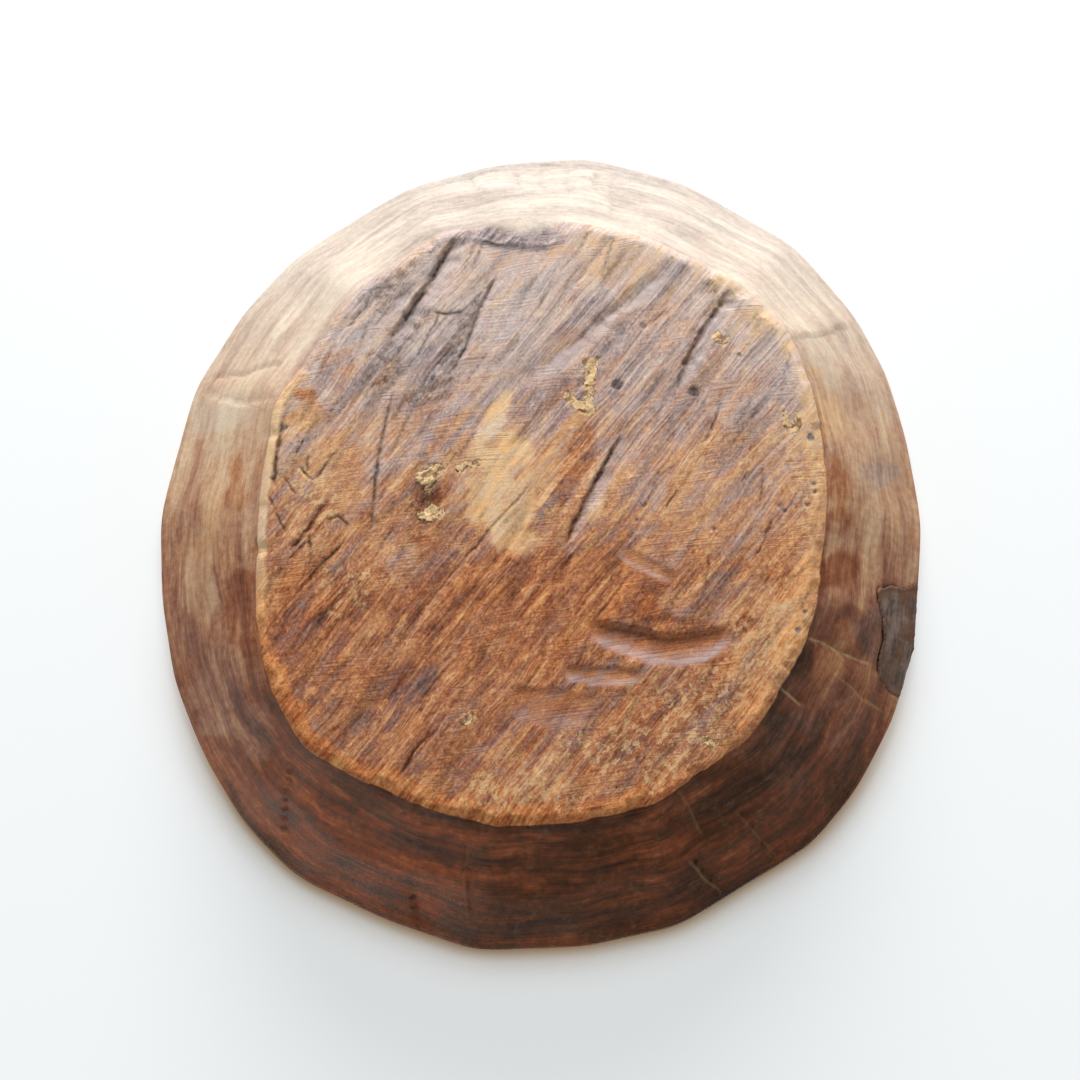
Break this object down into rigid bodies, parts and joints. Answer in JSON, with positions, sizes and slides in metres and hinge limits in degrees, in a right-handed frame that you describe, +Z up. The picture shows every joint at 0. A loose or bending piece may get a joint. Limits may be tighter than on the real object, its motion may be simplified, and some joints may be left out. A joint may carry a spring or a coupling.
{
  "type": "wooden bowl",
  "caption": "Round, slightly oval wooden bowl hewn from one block, with a faceted sloping wall, a rounded lip, a smooth hollow and a flat gouged foot with pale filler in its pits.",
  "frame": {"origin": "middle of the bowl's box, on the plane that the foot rests on", "axes": "+Z up out of the mouth, +Y along the longer axis of the oval lip, +X towards the side with the bark strip"},
  "size_m": [0.3208, 0.3376, 0.08],
  "materials": {
    "wood": "waxed, worn, darkly stained hewn wood",
    "bark": "weathered grey-brown bark side",
    "filler": "dry pale wood-flour filler"
  },
  "bodies": {
    "root": {"bowl_body": "wood", "bark_remnant": "bark", "filler_forked": "filler", "filler_ragged": "filler", "filler_slab": "filler", "filler_sliver": "filler", "filler_bent": "filler", "filler_crescent": "filler", "filler_wedge": "filler", "filler_plug": "filler"}
  },
  "joints": []
}
